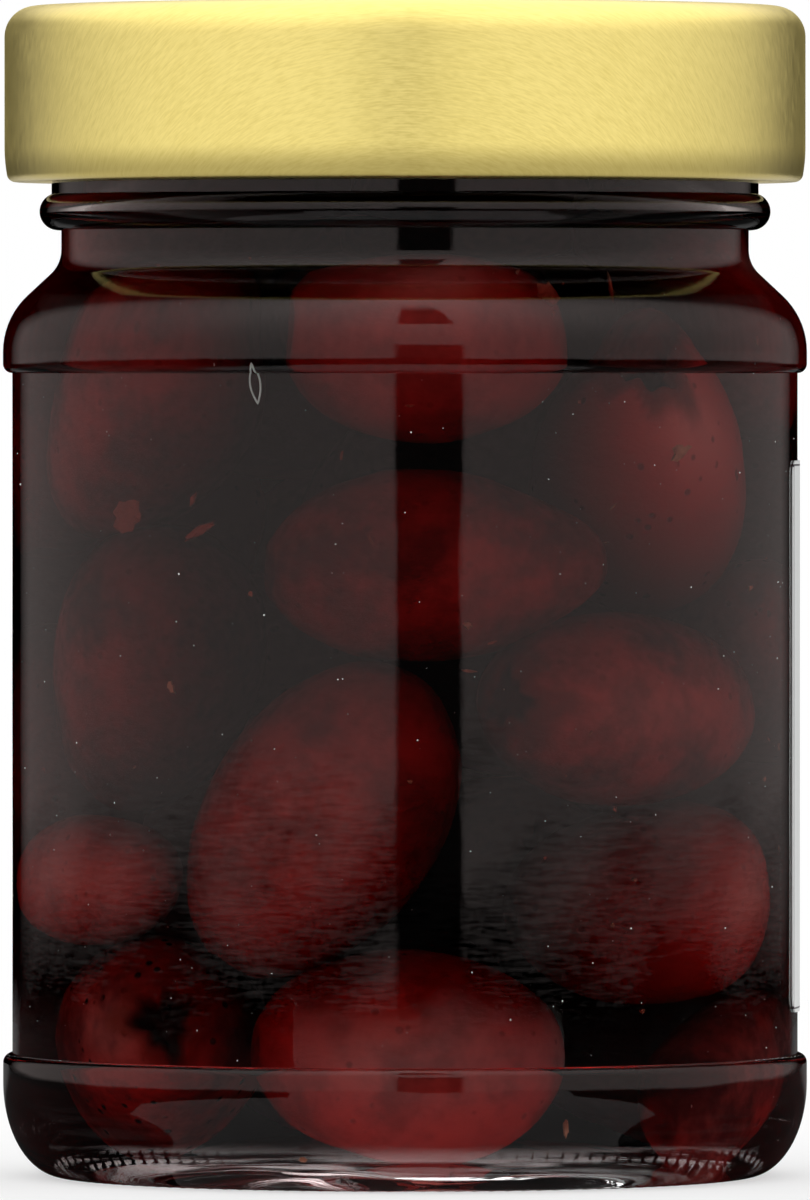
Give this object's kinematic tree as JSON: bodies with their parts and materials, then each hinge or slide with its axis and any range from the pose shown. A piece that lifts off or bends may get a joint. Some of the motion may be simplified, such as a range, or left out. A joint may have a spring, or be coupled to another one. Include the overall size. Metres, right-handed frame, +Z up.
{
  "type": "jar of olives",
  "caption": "Wide-mouth glass jar of dark purple olives in red brine, with a deep satin gold twist-off lid and a plain wrapped label.",
  "frame": {"origin": "centre of the base, in the plane of the bearing ring that the jar stands on", "axes": "+Z up along the jar's axis; -Y is the bare glass front where the olives show; the label wraps round the +Y side"},
  "size_m": [0.0737, 0.0736, 0.1072],
  "materials": {
    "glass": "clear, smooth",
    "contents": "dark purple-red olives in red brine, wet",
    "lid_metal": "satin gold lacquer over brushed tinplate",
    "label_paper": "coated white paper"
  },
  "bodies": {
    "root": {"jar": "glass", "brine": "contents", "lid": "lid_metal", "label": "label_paper"}
  },
  "joints": []
}
